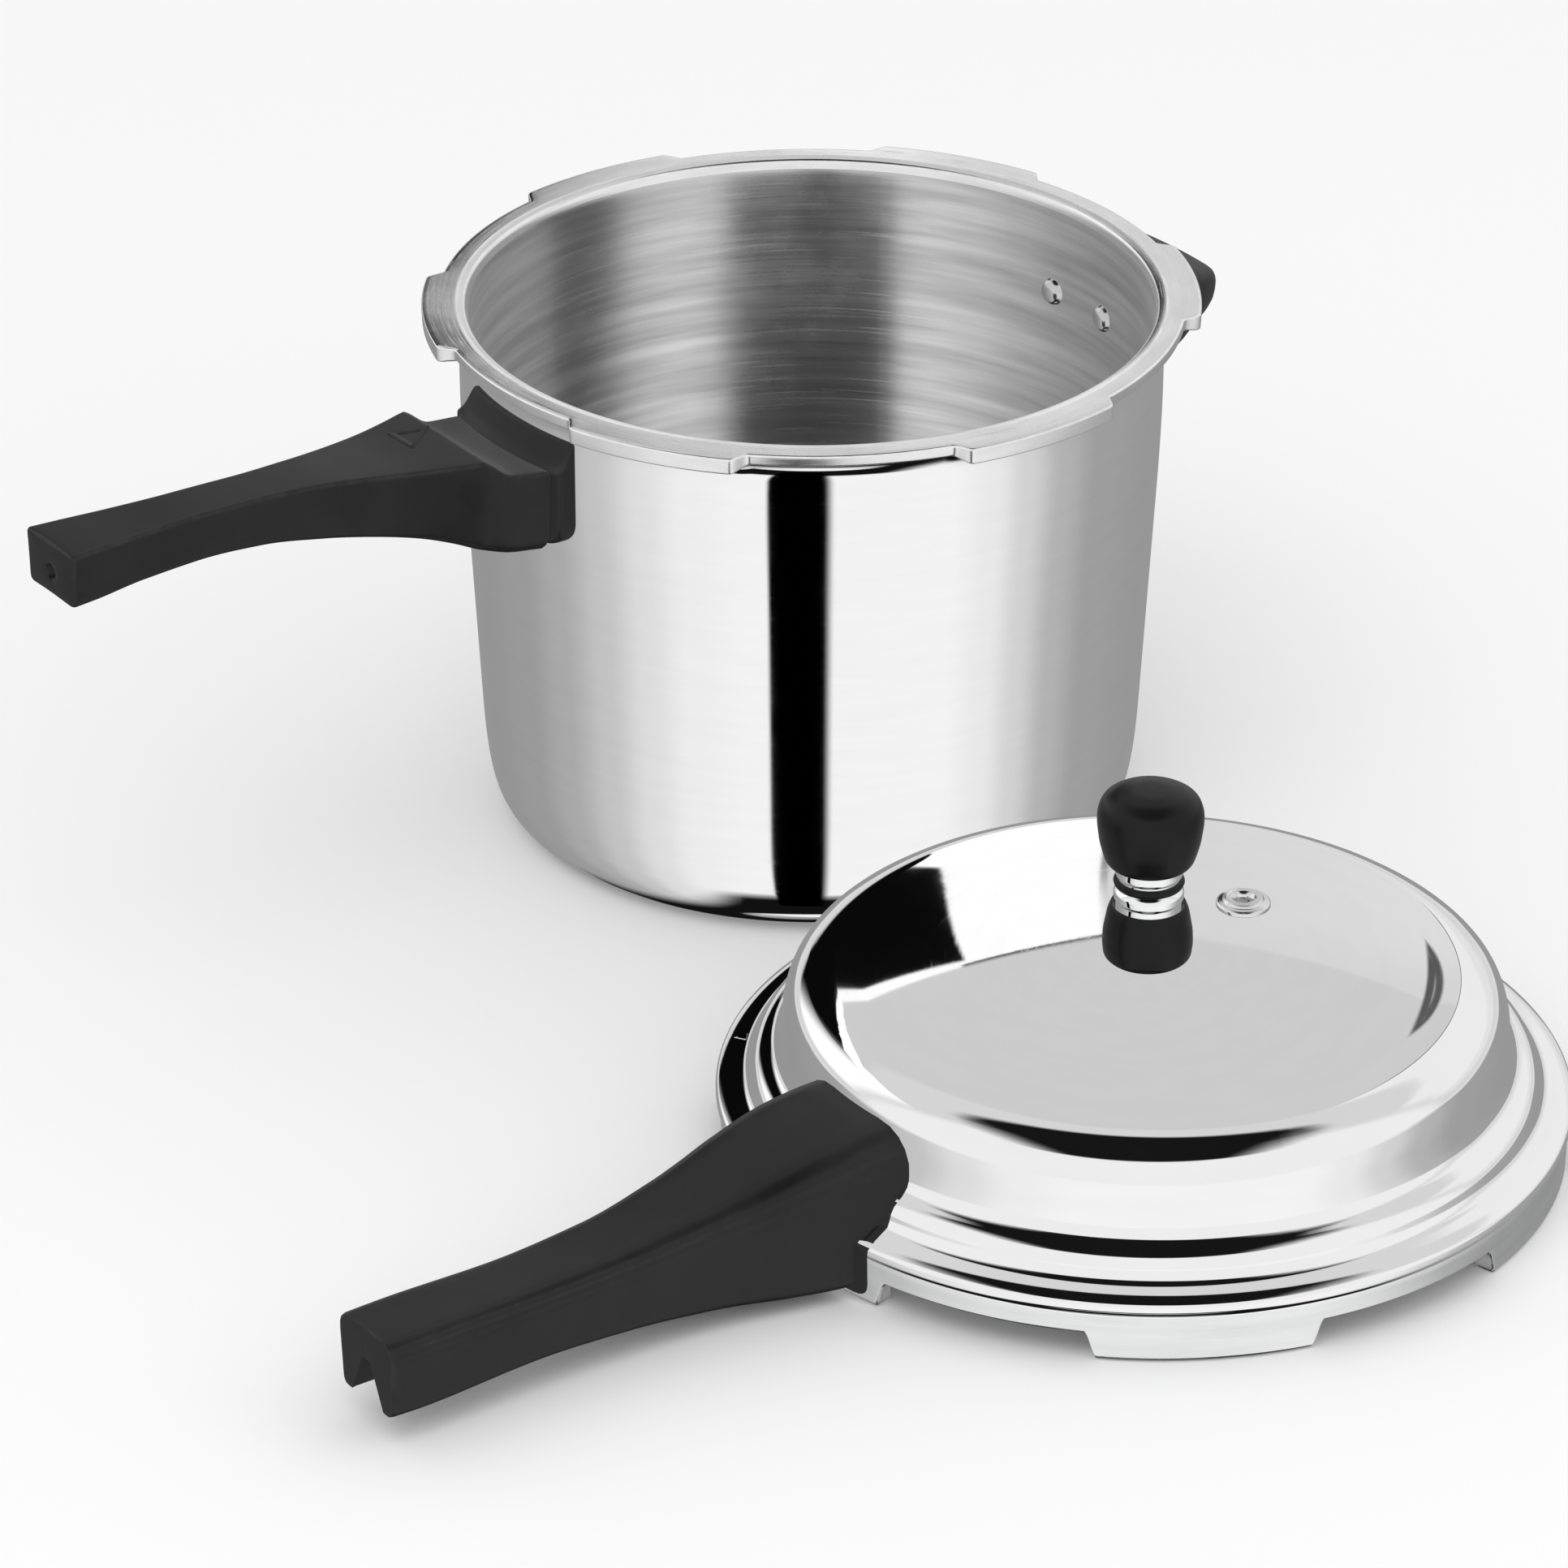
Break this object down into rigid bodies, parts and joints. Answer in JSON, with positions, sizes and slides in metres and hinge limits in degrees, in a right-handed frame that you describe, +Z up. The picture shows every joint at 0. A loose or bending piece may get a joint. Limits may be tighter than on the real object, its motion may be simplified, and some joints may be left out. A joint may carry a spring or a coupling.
{
  "type": "stovetop pressure cooker",
  "caption": "Open metal stovetop pressure cooker with long and helper handles, its domed locking lid with gasket, long handle, vent weight and safety plug lying beside it.",
  "frame": {"origin": "centre of the pot's flat base, on the surface that it stands on", "axes": "+Z up along the pot's axis; the pot's long handle points along -X; the lid lies on the -Y side"},
  "size_m": [0.457, 0.4646, 0.166],
  "materials": {
    "pot_metal": "mirror polished outside, machined rim, lathe-brushed inside",
    "lid_metal": "mirror polished outside, satin underneath",
    "handle_plastic": "black moulded phenolic with a fine grain",
    "weight_plastic": "satin black moulded phenolic",
    "weight_metal": "bright plated",
    "bracket_steel": "plain pressed steel",
    "fastener_steel": "bright zinc plated",
    "rivet_metal": "formed rivet heads, satin",
    "fitting_metal": "turned and plated",
    "plug_alloy": "dull soft-metal plug",
    "gasket_rubber": "matt nitrile rubber"
  },
  "bodies": {
    "pot": {"pot_body": "pot_metal", "pot_handle": "handle_plastic", "pot_handle_collar": "handle_plastic", "pot_bracket": "bracket_steel", "pot_handle_screw": "fastener_steel", "pot_rivet_right": "rivet_metal", "helper_handle": "handle_plastic", "helper_bracket": "bracket_steel", "helper_screw": "fastener_steel", "helper_rivet_right": "rivet_metal", "helper_rivet_left": "rivet_metal"},
    "swing_rivet": {"pot_rivet_left": "rivet_metal"},
    "seal": {"lid_gasket": "gasket_rubber"},
    "lid": {"lid_shell": "lid_metal", "lid_handle": "handle_plastic", "lid_bracket": "bracket_steel", "lid_handle_screw": "fastener_steel", "lid_rivet_right": "rivet_metal", "lid_rivet_left": "rivet_metal", "vent_tube": "fitting_metal", "vent_nut": "fitting_metal", "vent_washer": "gasket_rubber", "safety_body": "fitting_metal", "safety_washer": "gasket_rubber", "safety_nut": "fitting_metal", "safety_core": "plug_alloy"},
    "weight_pin": {"weight_pin": "fastener_steel"},
    "weight": {"weight_core": "weight_metal", "weight_cup": "weight_plastic", "weight_ring": "weight_plastic", "weight_knob": "weight_plastic"}
  },
  "joints": [
    {"name": "lid_swing", "type": "hinge", "parent": "pot", "child": "swing_rivet", "pos_m": [-0.10469, 0.0166, 0.134], "axis": [-0.9784, 0.2069, 0], "range_deg": [0, 247.06]},
    {"name": "lid_level", "type": "hinge", "parent": "swing_rivet", "child": "seal", "pos_m": [-0.11815, -0.04706, -0.01975], "axis": [-0.9784, 0.2069, 0], "range_deg": [-247.06, 0]},
    {"name": "lid_turn", "type": "hinge", "parent": "seal", "child": "lid", "pos_m": [-0.048, -0.227, 0], "axis": [0, 0, -1], "range_deg": [0, 26]},
    {"name": "weight_lift", "type": "slide", "parent": "lid", "child": "weight_pin", "axis": [0, 0, 1], "range_m": [0, 0.03]},
    {"name": "weight_spin", "type": "hinge", "parent": "weight_pin", "child": "weight", "pos_m": [-0.048, -0.227, 0.07], "axis": [0, 0, 1], "continuous": true}
  ],
  "couplings": [
    {"joint": "lid_level", "follows": "lid_swing", "ratio": -1}
  ]
}
